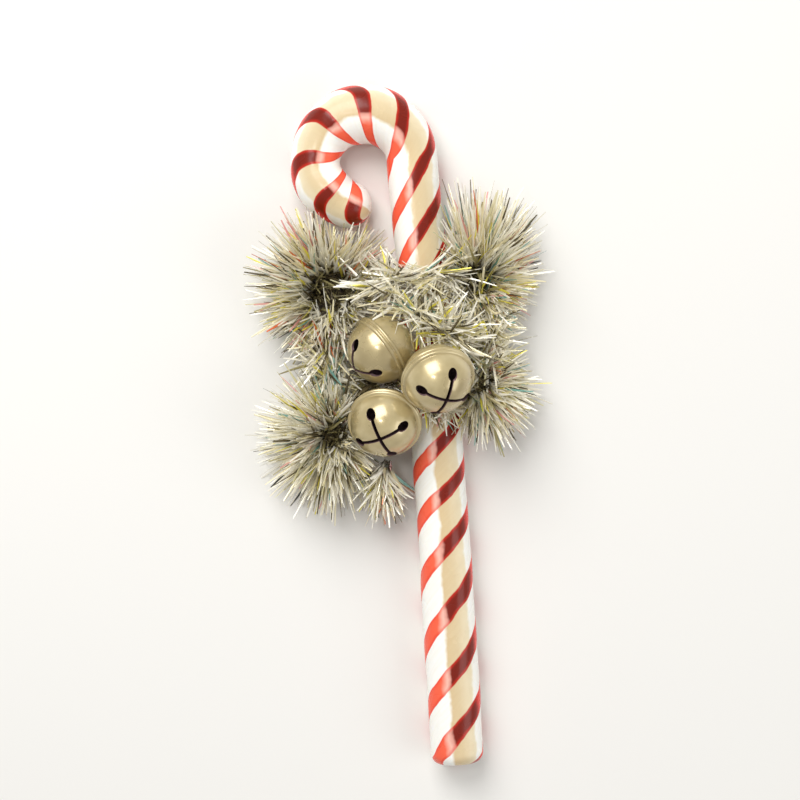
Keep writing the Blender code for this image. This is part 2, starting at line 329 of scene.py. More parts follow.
def cane_mesh():
    """The rope: its stripes stand slightly proud, and the hand-pulled surface is not quite even."""
    stations = cane_stations()
    crossings = smooth_crossings(stations)

    def on_rope(row, share):
        return share, leaned(crossings[row], stations[row][4], share)

    points = []
    for row, (point, along, radius, axis_height, way) in enumerate(stations):
        outward = along.cross(UP)
        for i in range(CANE_SIDES):
            share = i / CANE_SIDES
            angle = 2 * math.pi * share
            gap = stripe_distance(*on_rope(row, share))
            proud = STRIPE_RELIEF * (1 - eased((gap - HALF_BAND * 0.6) / (HALF_BAND * 0.8)))
            uneven = 0.10 * MM * math.sin(3 * angle + way / (9 * MM))
            uneven += 0.09 * MM * math.sin(2 * angle - way / (15 * MM) + 1.3)
            grown = radius * (1 + (proud + uneven) / (10 * MM))
            height = max(0.0, axis_height + grown * math.sin(angle))
            points.append(point + outward * (grown * math.cos(angle)) + UP * height)
    faces = []
    shares = []
    last_row = len(stations) - 1
    for row in range(last_row):
        for i in range(CANE_SIDES):
            j = (i + 1) % CANE_SIDES
            base, above = row * CANE_SIDES, (row + 1) * CANE_SIDES
            faces.append((base + i, base + j, above + j, above + i))
            low, high = i / CANE_SIDES, (i + 1) / CANE_SIDES
            shares += [on_rope(row, low), on_rope(row, high), on_rope(row + 1, high), on_rope(row + 1, low)]
    faces.append(tuple(range(CANE_SIDES - 1, -1, -1)))
    shares += [WHITE_PLACE] * CANE_SIDES
    faces.append(tuple(last_row * CANE_SIDES + i for i in range(CANE_SIDES)))
    shares += [on_rope(last_row, i / CANE_SIDES) for i in range(CANE_SIDES)]
    mesh = bpy.data.meshes.new("cane_sugar")
    mesh.from_pydata([DRAWN_PLACE @ point for point in points], [], faces)
    layer = mesh.uv_layers.new(name="rope")
    layer.data.foreach_set("uv", np.array(shares, np.float32).ravel())
    mesh.shade_smooth()
    return mesh


def drawn_to_frame(mesh):
    """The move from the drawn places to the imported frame, found from the cane's box."""
    low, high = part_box("cane")
    drawn = np.array([vertex.co for vertex in mesh.vertices])
    middle = (drawn.min(axis=0) + drawn.max(axis=0)) / 2
    return Vector(((low[0] + high[0]) / 2 - middle[0], (low[1] + high[1]) / 2 - middle[1], 0))


DRAWN_PLACE = Matrix.Translation(CROOK_TOP) @ Matrix.Rotation(CANE_TILT, 4, "Z")
CANE_MESH = cane_mesh()
SHIFT = drawn_to_frame(CANE_MESH)


def pulled_sugar():
    """Boiled sugar that is pulled until it is full of air, rolled with red strips and twisted by hand.

    The eye sees glossy white with silky streaks along the twist, red bands with brighter edges, and a gloss
    that is soft and uneven. Light and shade are painted in round the rope: a cream shade and a bright rim on
    the white, and a dark shade, a pale highlight and a lit side on the red.
    """
    material, tree, shader = new_material("pulled sugar")
    add = partial(add_node, tree)
    cane = settings()
    rope = add(SEPARATE, (add("ShaderNodeUVMap", uv_map="rope"),))
    around, crossings = rope.outputs["X"], rope.outputs["Y"]
    place = add(PLACE).outputs["Object"]

    # How far a point lies from the nearest stripe's middle; the edges waver as a hand-rolled strip does
    waver = add(NOISE, {"Vector": place, "Scale": 1000 / 9, "Detail": 2.0, "Roughness": 0.5})
    waver = add(MATH, (waver, 0.10, -0.05), operation="MULTIPLY_ADD")
    phase = add(MATH, (around, float(STRIPES), crossings), operation="MULTIPLY_ADD")
    phase = add(MATH, (phase, TOP_LINE_TURN), operation="SUBTRACT")
    phase = add(MATH, (phase, waver), operation="ADD")
    gap = add(MATH, (phase, 100.0), operation="ADD")
    gap = add(MATH, (gap, 0.5), operation="PINGPONG")
    edges = (gap, HALF_BAND - 0.012, HALF_BAND + 0.022, 1.0, 0.0)
    band = add(MAP_RANGE, edges, interpolation_type="SMOOTHERSTEP")
    fringe = add(MAP_RANGE, (gap, HALF_BAND - 0.085, HALF_BAND - 0.01), interpolation_type="SMOOTHSTEP")

    # Silky streaks follow the twist: the noise is stretched along the stripes
    across = add(MATH, (phase, 5.0), operation="MULTIPLY")
    along = add(MATH, (crossings, 0.55), operation="MULTIPLY")
    twisted = add(COMBINE, (across, along))
    silk = add(NOISE, {"Vector": twisted, "Scale": 2.4, "Detail": 4.0, "Roughness": 0.6})

    # Painted light and shade round the rope: the white sugar takes a cream painted shade on its outer upper
    # side and stays white on the lit inner side and in a painted bright rim along the outer edge; the red is
    # dark as painted shade, pale as a painted highlight by the top line, lighter on the lit side, bright at
    # the rims
    brushed = add(NOISE, {"Vector": place, "Scale": 1000 / 6, "Detail": 2.0, "Roughness": 0.5})
    brushed = add(MATH, (brushed, 0.05, -0.025), operation="MULTIPLY_ADD")
    round_rope = add(MATH, (around, brushed), operation="ADD")
    painted_shade = add(
        RAMP,
        (round_rope,),
        stops=(
            (0.0, cane.sugar_white),
            (0.11, cane.sugar_white),
            (0.128, "#F0E2C2"),
            (0.19, cane.sugar_shade_cream),
            (0.270, "#DBC297"),
            (0.288, cane.sugar_white),
            (1.0, cane.sugar_white),
        ),
    )
    silky = add(MAP_RANGE, (silk, 0.42, 0.72))
    silky = add(MATH, (silky, 0.18), operation="MULTIPLY")
    white = add(MIX, (silky, painted_shade, linear("#EADDB4")), data_type="RGBA")
    # Painted light on the red by angle round the rope: bright rims, a dark painted shade band, a pale painted
    # highlight by the top line and a lighter lit side
    red_painted_light = add(
        RAMP,
        (round_rope,),
        stops=(
            (0.0, cane.stripe_edge_and_rim_light),
            (0.06, cane.stripe_edge_and_rim_light),
            (0.10, cane.stripe_shade_red),
            (0.255, cane.stripe_shade_red),
            (0.268, "#E09A8A"),
            (0.290, "#F8C2B0"),
            (0.325, "#FB6A4A"),
            (0.48, "#F9553B"),
            (0.58, cane.stripe_edge_and_rim_light),
            (1.0, cane.stripe_edge_and_rim_light),
        ),
    )
    fringe = add(MATH, (fringe, 0.5), operation="MULTIPLY")
    red = add(MIX, (fringe, red_painted_light, linear(cane.stripe_edge_and_rim_light)), data_type="RGBA")
    colour = add(MIX, (band, white, red), data_type="RGBA")
    tree.links.new(colour.outputs[2], shader.inputs["Base Color"])

    gloss = add(NOISE, {"Vector": place, "Scale": 1000 / 14, "Detail": 3.0, "Roughness": 0.5})
    gloss = add(MAP_RANGE, (gloss, 0.3, 0.7, 0.16, 0.34))
    tree.links.new(gloss.outputs[0], shader.inputs["Roughness"])
    bump = add(BUMP, {"Height": silk, "Strength": 0.12, "Distance": 0.3 * MM})
    tree.links.new(bump.outputs[0], shader.inputs["Normal"])
    fill_sockets(
        shader,
        {
            "IOR": 1.5,
            "Specular IOR Level": 0.3,
            "Subsurface Weight": 0.15,
            "Subsurface Scale": 2 * MM,
            "Subsurface Radius": (1.0, 0.8, 0.65),
            "Coat Weight": 0.1,
            "Coat Roughness": 0.15,
        },
    )
    return material


class CANDYCANE_OT_cane(bpy.types.Operator):
    """Make the twisted sugar cane with its red stripes"""

    bl_idname = "candycane.cane"
    bl_label = "Candy cane"

    def execute(self, context):
        CANE_MESH.transform(Matrix.Translation(SHIFT))
        finish_piece("striped_cane", CANE_MESH, pulled_sugar(), ["cane"])
        return {"FINISHED"}


# ---------------------------------------------------------------- bells


def bell_outline():
    """Half outline of the stamped shell from the slotted pole to the other.

    The rolled lips of its two halves meet as a double bead.
    """
    seam = math.asin((BEAD_OFFSET + BEAD_RADIUS) / BELL_RADIUS)
    steps = 26
    angles = [math.pi / 2 - (math.pi / 2 - seam) * i / (steps - 1) for i in range(steps)]
    outline = [(BELL_RADIUS * math.cos(angle), BELL_RADIUS * math.sin(angle)) for angle in angles]
    across = BELL_RADIUS + BEAD_REACH - BEAD_RADIUS
    for i in range(9):
        angle = math.radians(80 - 150 * i / 8)
        outline.append((across + BEAD_RADIUS * math.cos(angle), BEAD_OFFSET + BEAD_RADIUS * math.sin(angle)))
    return outline + [(x, -z) for x, z in outline[::-1]]


def turned_mesh(outline, segments):
    """A closed turned shape from a half outline that starts and ends on the axis."""
    bm = bmesh.new()
    top = bm.verts.new((0, 0, outline[0][1]))
    bottom = bm.verts.new((0, 0, outline[-1][1]))
    rows = []
    for x, z in outline[1:-1]:
        angles = [2 * math.pi * i / segments for i in range(segments)]
        rows.append([bm.verts.new((x * math.cos(a), x * math.sin(a), z)) for a in angles])
    for i in range(segments):
        j = (i + 1) % segments
        bm.faces.new((top, rows[0][i], rows[0][j]))
        bm.faces.new((bottom, rows[-1][j], rows[-1][i]))
        for row, following in zip(rows, rows[1:]):
            bm.faces.new((row[i], following[i], following[j], row[j]))
    bmesh.ops.recalc_face_normals(bm, faces=bm.faces)
    return bm


def as_object(name, bm):
    mesh = bpy.data.meshes.new(name)
    bm.to_mesh(mesh)
    bm.free()
    obj = bpy.data.objects.new(name, mesh)
    bpy.context.scene.collection.objects.link(obj)
    return obj


def slot_tool(name, turn):
    """The punch for one slot: a narrow bar that widens to a round hole at each end."""
    bell = settings()
    reach = BELL_RADIUS * math.sin(SLOT_HALF_ANGLE)
    half = bell.slot_width / 2
    hole = bell.hole_radius
    neck = math.asin(half / hole)
    bm = bmesh.new()
    outline = []
    for side in (1, -1):
        for i in range(25):
            a = -math.pi + neck + (2 * math.pi - 2 * neck) * i / 24
            outline.append((side * (reach + hole * math.cos(a)), side * hole * math.sin(a)))
    floor = [bm.verts.new((x, y, BELL_RADIUS * 0.3)) for x, y in outline]
    roof = [bm.verts.new((x, y, BELL_RADIUS * 1.2)) for x, y in outline]
    for i in range(len(outline)):
        j = (i + 1) % len(outline)
        bm.faces.new((floor[i], floor[j], roof[j], roof[i]))
    bm.faces.new(floor[::-1])
    bm.faces.new(roof)
    bmesh.ops.rotate(bm, verts=bm.verts, cent=(0, 0, 0), matrix=Matrix.Rotation(turn, 3, "Z"))
    bmesh.ops.recalc_face_normals(bm, faces=bm.faces)
    return as_object(name, bm)


def bell_shell_mesh():
    """One hollow bell with its pole up: shell, cavity and the two crossing slots cut out."""
    shell = as_object("bell_blank", turned_mesh(bell_outline(), 88))
    inner = BELL_RADIUS - BELL_WALL
    arc = [math.pi / 2 - math.pi * i / 32 for i in range(33)]
    cavity = turned_mesh([(inner * math.cos(a), inner * math.sin(a)) for a in arc], 64)
    cutters = [
        as_object("bell_cavity", cavity),
        slot_tool("slot_across", 0.0),
        slot_tool("slot_along", math.pi / 2),
    ]
    for cutter in cutters:
        cut = shell.modifiers.new(cutter.name, "BOOLEAN")
        cut.object = cutter
        cut.operation = "DIFFERENCE"
        cut.solver = "EXACT"
    bevel = shell.modifiers.new("soft_edges", "BEVEL")
    bevel.width = 0.12 * MM
    bevel.segments = 2
    bevel.limit_method = "ANGLE"
    bevel.angle_limit = math.radians(50)
    made = evaluated_mesh(shell)
    for obj in (shell, *cutters):
        bpy.data.objects.remove(obj)
    return made


def bell_metal():
    """Stamped steel under a satin khaki-gold lacquer: soft cloudy gold with clear white glints."""
    material, tree, shader = new_material("satin gold lacquer")
    add = partial(add_node, tree)
    bell = settings()
    place = add(PLACE).outputs["Object"]
    cloud = add(NOISE, {"Vector": place, "Scale": 1000 / 11, "Detail": 3.0, "Roughness": 0.55})
    tone = add(RAMP, (cloud,), stops=((0.32, bell.bell_shade), (0.55, bell.bell_gold), (0.75, "#CDBD90")))
    tree.links.new(tone.outputs[0], shader.inputs["Base Color"])
    shine = add(MAP_RANGE, (cloud, 0.3, 0.7, 0.24, 0.34))
    tree.links.new(shine.outputs[0], shader.inputs["Roughness"])
    fill_sockets(shader, {"Metallic": 0.4, "Coat Weight": 0.9, "Coat Roughness": 0.14, "Coat IOR": 1.6})
    return material


def bell_inside_shade():
    """The inside of the steel shell: a dull purple-brown painted shade that looks dark through the slots."""
    material, tree, shader = new_material("inside painted shade")
    add = partial(add_node, tree)
    place = add(PLACE).outputs["Object"]
    speck = add(NOISE, {"Vector": place, "Scale": 1000 / 2.0, "Detail": 3.0})
    tone = add(RAMP, (speck,), stops=((0.35, "#5A4244"), (0.65, "#74585A")))
    tree.links.new(tone.outputs[0], shader.inputs["Base Color"])
    fill_sockets(shader, {"Roughness": 0.7})
    return material


class CANDYCANE_OT_bells(bpy.types.Operator):
    """Make the three jingle bells, each a hollow stamped shell with crossing slots"""

    bl_idname = "candycane.bells"
    bl_label = "Jingle bells"

    def execute(self, context):
        blank = bell_shell_mesh()
        plate, dark = bell_metal(), bell_inside_shade()
        for name, (centre, pole, turn) in BELLS.items():
            mesh = blank.copy()
            facing = Vector(pole).normalized().to_track_quat("Z", "Y").to_matrix().to_4x4()
            spin = Matrix.Rotation(math.radians(turn), 4, "Z")
            at = Vector(centre) * MM + SHIFT
            mesh.transform(Matrix.Translation(at) @ facing @ spin)
            finish_piece(f"jingle_{name}", mesh, plate, [name])
            mesh.materials.append(dark)
            # Inner faces take the dark painted shade
            for polygon in mesh.polygons:
                depth = (polygon.center - at).length
                polygon.material_index = 1 if depth < BELL_RADIUS - BELL_WALL * 0.35 else 0
            mesh.shade_smooth()
            mesh.set_sharp_from_angle(angle=math.radians(38))
        return {"FINISHED"}


# ---------------------------------------------------------------- tinsel


def ellipse_reach(hub, middle, half, direction):
    """How far it is from the hub to the loop's elliptical outline in a direction."""
    p = np.array([(hub[i] - middle[i]) / half[i] for i in (0, 1)])
    d = np.array([direction[i] / half[i] for i in (0, 1)])
    a, b, c = d @ d, 2 * p @ d, p @ p - 1
    return (-b + math.sqrt(b * b - 4 * a * c)) / (2 * a)


def loop_facts(name):
    """(hub, middle, half sizes) of a loop in the frame, from its solid's box."""
    low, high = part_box(name)
    across, along = LOOPS[name][0]
    hub = Vector((low[0] + (high[0] - low[0]) * across, low[1] + (high[1] - low[1]) * along, 0))
    middle = ((low[0] + high[0]) / 2, (low[1] + high[1]) / 2)
    half = ((high[0] - low[0]) / 2, (high[1] - low[1]) / 2)
    return hub, middle, half


def path_mesh(name, rows):
    """A poly line that carries, at each point, the way out and how far the strands reach."""
    mesh = bpy.data.meshes.new(name)
    points = [row[0] for row in rows]
    closed = (points[0] - points[-1]).length < 8 * MM
    edges = [(i, i + 1) for i in range(len(points) - 1)]
    if closed:
        edges.append((len(points) - 1, 0))
    mesh.from_pydata(points, edges, [])
    way_out = mesh.attributes.new("way_out", "FLOAT_VECTOR", "POINT")
    way_out.data.foreach_set("vector", np.array([row[1] for row in rows], np.float32).ravel())
    reach = mesh.attributes.new("reach", "FLOAT", "POINT")
    reach.data.foreach_set("value", np.array([row[2] for row in rows], np.float32))
    return mesh


def loop_path(name):
    """The twisted wire of one loop: a ring round the hub, a short way out towards the outline."""
    hub, middle, half = loop_facts(name)
    _, overhang, ring_share, _, _ = LOOPS[name]
    rows = []
    for i in range(48):
        angle = 2 * math.pi * i / 48
        direction = Vector((math.cos(angle), math.sin(angle), 0))
        outline = ellipse_reach(hub, middle, half, direction)
        ring = ring_share * outline + 2.0 * MM
        height = (11 + 2.5 * math.sin(angle * 2 + len(name))) * MM
        rows.append((hub + direction * ring + UP * height, direction, outline + overhang * MM - ring))
    return path_mesh(f"wire_{name}", rows)


def bridge_path(name):
    """One run of the garland between loops; its way out is level and square to the wire."""
    corners, reach, _, _ = BRIDGES[name]
    corners = [Vector(corner) * MM + SHIFT for corner in corners]
    rows = []
    steps = 8
    for start, end in zip(corners, corners[1:]):
        square = (end - start).cross(UP).normalized()
        for i in range(steps):
            rows.append((start.lerp(end, i / steps), square, reach * MM))
    return path_mesh(f"wire_{name}", rows)


def tail_path():
    """The garland's short end, which points down beside the shaft."""
    low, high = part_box("tinsel_tail")
    middle = Vector(((low[0] + high[0]) / 2, (low[1] + high[1]) / 2, 0))
    rows = []
    for i in range(12):
        share = i / 11
        point = Vector((middle.x + 2 * MM - share * 3 * MM, high[1] - 4 * MM - share * 7 * MM, 13 * MM))
        sideways = -0.7 + 1.4 * ((i * 5) % 12) / 11
        rows.append((point, Vector((sideways, -1.0, 0)).normalized(), 17 * MM))
    return path_mesh("wire_tail", rows)


def strand_tree(blockers):
    """Sets foil strands along a wire: they fan out, miss the blockers and stay off the ground."""
    tree = bpy.data.node_groups.new("tinsel strands", "GeometryNodeTree")
    add = partial(add_node, tree)
    face = tree.interface
    face.new_socket("Geometry", in_out="INPUT", socket_type="NodeSocketGeometry")
    for label, kind, default in (
        ("Strands", "NodeSocketInt", 1500),
        ("Width", "NodeSocketFloat", 1.1 * MM),
        ("Lowest Angle", "NodeSocketFloat", -0.35),
        ("Highest Angle", "NodeSocketFloat", 1.3),
        ("Side Spread", "NodeSocketFloat", 0.5),
        ("Length Share", "NodeSocketFloat", 1.0),
        ("Lowest Tone", "NodeSocketFloat", 0.0),
        ("Highest Tone", "NodeSocketFloat", 1.0),
        ("Root Shade", "NodeSocketFloat", 0.9),
        ("Seed", "NodeSocketInt", 1),
        ("Material", "NodeSocketMaterial", None),
    ):
        socket = face.new_socket(label, in_out="INPUT", socket_type=kind)
        if default is not None:
            socket.default_value = default
    face.new_socket("Geometry", in_out="OUTPUT", socket_type="NodeSocketGeometry")
    given = add("NodeGroupInput").outputs

    # Each strand has its own draw of the seed for each thing that differs from strand to strand
    draws = ("angle", "side", "length", "tone", "jitter", "spin", "width", "bend")
    seed = {draw: add(MATH, (given["Seed"], step), operation="ADD") for step, draw in enumerate(draws, 1)}
    kinds = {"reach": "FLOAT", "strand_length": "FLOAT", "along": "FLOAT"}
    read = {
        name: add(READ, (name,), data_type=kinds.get(name, "FLOAT_VECTOR"))
        for name in ("way_out", "wire_way", "reach", "strand_way", "strand_length", "along", "bend")
    }
    here = add("GeometryNodeInputPosition")

    # A strand's direction: out from the hub, up or down by an angle, and a little along the wire
    angle_range = {"Min": given["Lowest Angle"], "Max": given["Highest Angle"], "Seed": seed["angle"]}
    angle = add(RANDOM, angle_range)
    level = add(MATH, (angle,), operation="COSINE")
    upward = add(COMBINE, {"Z": add(MATH, (angle,), operation="SINE")})
    side = add(RANDOM, {"Min": -1.0, "Max": 1.0, "Seed": seed["side"]})
    side = add(MATH, (side, given["Side Spread"]), operation="MULTIPLY")
    direction = add(VECTOR_MATH, (read["way_out"], level, upward), operation="MULTIPLY_ADD")
    direction = add(VECTOR_MATH, (read["wire_way"], side, direction), operation="MULTIPLY_ADD")
    direction = add(VECTOR_MATH, (direction,), operation="NORMALIZE")
    length = add(RANDOM, {"Min": 0.62, "Max": 1.07, "Seed": seed["length"]})
    length = add(MATH, (read["reach"], length), operation="MULTIPLY")
    length = add(MATH, (length, given["Length Share"]), operation="MULTIPLY")
    tone = add(RANDOM, {"Min": given["Lowest Tone"], "Max": given["Highest Tone"], "Seed": seed["tone"]})

    # Places along the wire carry what their strands need
    curve = add("GeometryNodeMeshToCurve", (given["Geometry"],))
    placed = add("GeometryNodeCurveToPoints", {"Curve": curve, "Count": given["Strands"]}, mode="COUNT")
    points = placed.outputs["Points"]
    for name, kind, value in (
        ("wire_way", "FLOAT_VECTOR", placed.outputs["Tangent"]),
        ("strand_way", "FLOAT_VECTOR", direction),
        ("strand_length", "FLOAT", length),
        ("tone", "FLOAT", tone),
        ("shade", "FLOAT", given["Root Shade"]),
    ):
        points = add(STORE, {"Geometry": points, "Name": name, "Value": value}, data_type=kind)
    spread = {"Min": (-1.6 * MM,) * 3, "Max": (1.6 * MM,) * 3, "Seed": seed["jitter"]}
    jitter = add(RANDOM, spread, data_type="FLOAT_VECTOR")
    points = add(SET_POSITION, {"Geometry": points, "Offset": jitter})

    # A strand is left out where its root, middle or tip would be inside a bell or the cane
    tries = []
    for share in (0.3, 0.65, 1.0):
        way = add(MATH, (read["strand_length"], share), operation="MULTIPLY")
        tries.append(add(VECTOR_MATH, (read["strand_way"], way, here), operation="MULTIPLY_ADD"))
    blocked = 0.0
    for start, end, radius, is_wall in blockers:
        run = end - start
        for trial in tries:
            if is_wall:
                trial = add(VECTOR_MATH, (trial, (1.0, 1.0, 0.0)), operation="MULTIPLY")
            from_start = add(VECTOR_MATH, (trial, tuple(start)), operation="SUBTRACT")
            share = add(VECTOR_MATH, (from_start, tuple(run)), operation="DOT_PRODUCT")
            share = add(MATH, (share, run.dot(run)), operation="DIVIDE", use_clamp=True)
            nearest = add(VECTOR_MATH, (tuple(run), share, tuple(start)), operation="MULTIPLY_ADD")
            away = add(VECTOR_MATH, (trial, nearest), operation="DISTANCE")
            hit = add(MATH, (away, radius), operation="LESS_THAN")
            blocked = add(MATH, (blocked, hit), operation="MAXIMUM")
    points = add("GeometryNodeDeleteGeometry", {"Geometry": points, "Selection": blocked}, domain="POINT")

    # One strand: a thin tapered strip of foil, lens shaped across, that stores its own length from 0 to 1
    sizes = {"Vertices": 4, "Side Segments": 4, "Radius Top": 0.2, "Radius Bottom": 0.42, "Depth": 1.0}
    cone = add("GeometryNodeMeshCone", sizes, fill_type="NGON")
    x, y, z = add(SEPARATE, (here,)).outputs
    strip = add(STORE, {"Geometry": cone, "Name": "along", "Value": z}, data_type="FLOAT")
    belly = add(MATH, (z, math.pi), operation="MULTIPLY")
    belly = add(MATH, (belly,), operation="SINE")
    belly = add(MATH, (belly, 0.5, 0.72), operation="MULTIPLY_ADD")
    wide = add(MATH, (x, belly), operation="MULTIPLY")
    thin = add(MATH, (y, belly), operation="MULTIPLY")
    thin = add(MATH, (thin, 0.3), operation="MULTIPLY")
    strip = add(SET_POSITION, {"Geometry": strip, "Position": add(COMBINE, (wide, thin, z))})

    # Set the strips on the points
    facing = add("FunctionNodeAlignRotationToVector", {"Vector": read["strand_way"]}, axis="Z")
    spin = add(RANDOM, {"Min": 0.0, "Max": math.tau, "Seed": seed["spin"]})
    spin = add("FunctionNodeAxisAngleToRotation", {"Axis": (0.0, 0.0, 1.0), "Angle": spin})
    facing = add("FunctionNodeRotateRotation", (facing, spin), rotation_space="LOCAL")
    width = add(RANDOM, {"Min": 0.6, "Max": 1.35, "Seed": seed["width"]})
    width = add(MATH, (given["Width"], width), operation="MULTIPLY")
    size = add(COMBINE, (width, width, read["strand_length"]))
    least, most = (-3.4 * MM, -3.4 * MM, -3.2 * MM), (3.4 * MM, 3.4 * MM, 1.4 * MM)
    bends = {"Min": least, "Max": most, "Seed": seed["bend"]}
    bend = add(RANDOM, bends, data_type="FLOAT_VECTOR")
    points = add(STORE, {"Geometry": points, "Name": "bend", "Value": bend}, data_type="FLOAT_VECTOR")
    strands = {"Points": points, "Instance": strip, "Rotation": facing, "Scale": size}
    strands = add("GeometryNodeRealizeInstances", (add("GeometryNodeInstanceOnPoints", strands),))

    # Each strand curls a little, and none goes through the ground
    curl = add(MATH, (read["along"], 2.0), operation="POWER")
    curled = add(VECTOR_MATH, (read["bend"], curl, here), operation="MULTIPLY_ADD")
    x, y, z = add(SEPARATE, (curled,)).outputs
    lifted = add(COMBINE, (x, y, add(MATH, (z, 0.15 * MM), operation="MAXIMUM")))
    strands = add(SET_POSITION, {"Geometry": strands, "Position": lifted})
    coloured = add("GeometryNodeSetMaterial", {"Geometry": strands, "Material": given["Material"]})
    add("NodeGroupOutput", (coloured,))
    return tree


def blockers():
    """What strands may not run through, as (start, end, radius, is it a wall) of round-ended rods.

    The bells are rods without length, the shaft is two rods, and the crook's tip and the bare part of the
    shaft are walls, which no strand crosses at any height.
    """
    found = []
    for centre, _, _ in BELLS.values():
        middle = Vector(centre) * MM + SHIFT
        found.append((middle, middle, BELL_RADIUS + 0.7 * MM, False))
    place = Matrix.Translation(SHIFT) @ DRAWN_PLACE
    height = UP * 9.8 * MM
    top = place @ height
    waist = place @ (Vector((SHAFT_BOW, -SHAFT_LENGTH / 2, 0)) + height)
    foot = place @ (Vector((0, -SHAFT_LENGTH, 0)) + height)
    found.append((foot, waist, 10.4 * MM, False))
    found.append((waist, top, 10.3 * MM, False))
    bends = []
    for angle in map(math.radians, (150, 195, 222, 245)):
        radial = Vector((math.cos(angle), math.sin(angle), 0))
        bends.append(place @ (Vector((-CROOK_RADIUS, 0, 0)) + radial * (CROOK_RADIUS - 0.6 * MM)))
    for start, end in zip(bends, bends[1:]):
        found.append((start, end, 9.6 * MM, True))
    found.append((place @ Vector((0, -36 * MM, 0)), place @ Vector((0, 0, 0)), 8.6 * MM, True))
    return found


def tinsel_foil():
    """Metallised film cut into hair-fine strips and caught in a twisted wire.

    Each strand is white, cream, tan or khaki foil, darkened near the wire by painted shade; the umber
    strands are painted shade, and the few coloured ones carry painted coloured glints. The strips are drawn
    about three times as wide as real ones, which would be too fine to show.
    """
    material, tree, shader = new_material("tinsel foil")
    add = partial(add_node, tree)
    bow = settings()
    tone, along, shade = (
        add("ShaderNodeAttribute", attribute_name=name).outputs["Fac"] for name in ("tone", "along", "shade")
    )
    # Strand tones: white, cream, tan and khaki foil; umber strands are painted shade, and yellow, teal, pink
    # and orange strands are painted coloured glints
    foil_tones_and_painted_light = add(
        RAMP,
        (tone,),
        stops=(
            (0.0, bow.foil_white),
            (0.56, bow.foil_cream),
            (0.74, "#DED7AC"),
            (0.78, bow.foil_khaki),
            (0.83, bow.foil_shade_umber),
            (0.91, "#EFE35A"),
            (0.945, "#7FB0A6"),
            (0.965, "#E9A7A0"),
            (0.985, "#E0703C"),
        ),
    )
    foil_tones_and_painted_light.color_ramp.interpolation = "CONSTANT"
    # Painted shade: each strand darkens to dark umber towards its root over the first third of its length, as
    # far as its Root Shade
    root = add(MAP_RANGE, (along, 0.05, 0.36, shade, 0.0), interpolation_type="SMOOTHSTEP")
    colour = add(MIX, (root, foil_tones_and_painted_light, linear("#3E3324")), data_type="RGBA")
    tree.links.new(colour.outputs[2], shader.inputs["Base Color"])
    fill_sockets(shader, {"Roughness": 0.26, "Metallic": 0.25, "Specular IOR Level": 0.8})
    return material


def strands_on(name, path, facts, replaced):
    """Runs the strand nodes on one wire path and keeps the result as a plain mesh."""
    wire = bpy.data.objects.new(f"{name}_wire_path", path)
    bpy.context.scene.collection.objects.link(wire)
    modifier = wire.modifiers.new("strands", "NODES")
    modifier.node_group = facts["tree"]
    for item in facts["tree"].interface.items_tree:
        if item.in_out == "INPUT" and item.name in facts:
            modifier[item.identifier] = facts[item.name]
    mesh = evaluated_mesh(wire)
    bpy.data.objects.remove(wire)
    mesh.name = name
    finish_piece(name, mesh, facts["Material"], replaced)


def heart_mesh(name, seed):
    """A loop's dark heart: a low lumpy mound of packed roots under the strands."""
    hub, middle, half = loop_facts(name)
    shifts = np.random.default_rng(seed).uniform(0, math.tau, 3)
    centre = hub * 0.6 + Vector((*middle, 0)) * 0.4
    bm = bmesh.new()
    bmesh.ops.create_icosphere(bm, subdivisions=5, radius=1.0)
    for vertex in bm.verts:
        x, y, z = vertex.co
        lump = 1 + 0.07 * math.sin(5 * x + shifts[0]) + 0.07 * math.sin(6 * y + 3 * z + shifts[1])
        lump += 0.05 * math.sin(11 * (x + y) + shifts[2])
        height = max(HEART_LOWEST, HEART_MIDDLE + z * lump * HEART_HALF_HEIGHT)
        vertex.co = centre + Vector((x * lump * half[0] * 0.5, y * lump * half[1] * 0.5, height))
    mesh = bpy.data.meshes.new(f"heart_{name}")
    bm.to_mesh(mesh)
    bm.free()
    mesh.shade_smooth()
    return mesh


def painted_root_shade():
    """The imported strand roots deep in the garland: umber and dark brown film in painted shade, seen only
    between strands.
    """
    material, tree, shader = new_material("strand roots painted shade")
    add = partial(add_node, tree)
    place = add(PLACE).outputs["Object"]
    tangle = add(NOISE, {"Vector": place, "Scale": 1000 / 2.5, "Detail": 5.0, "Distortion": 1.5})
    tone = add(RAMP, (tangle,), stops=((0.35, "#2E241D"), (0.55, "#4C4030"), (0.7, "#7A6D4C")))
    tree.links.new(tone.outputs[0], shader.inputs["Base Color"])
    bump = add(BUMP, {"Height": tangle, "Strength": 0.6, "Distance": 1.0 * MM})
    tree.links.new(bump.outputs[0], shader.inputs["Normal"])
    fill_sockets(shader, {"Roughness": 0.65})
    return material


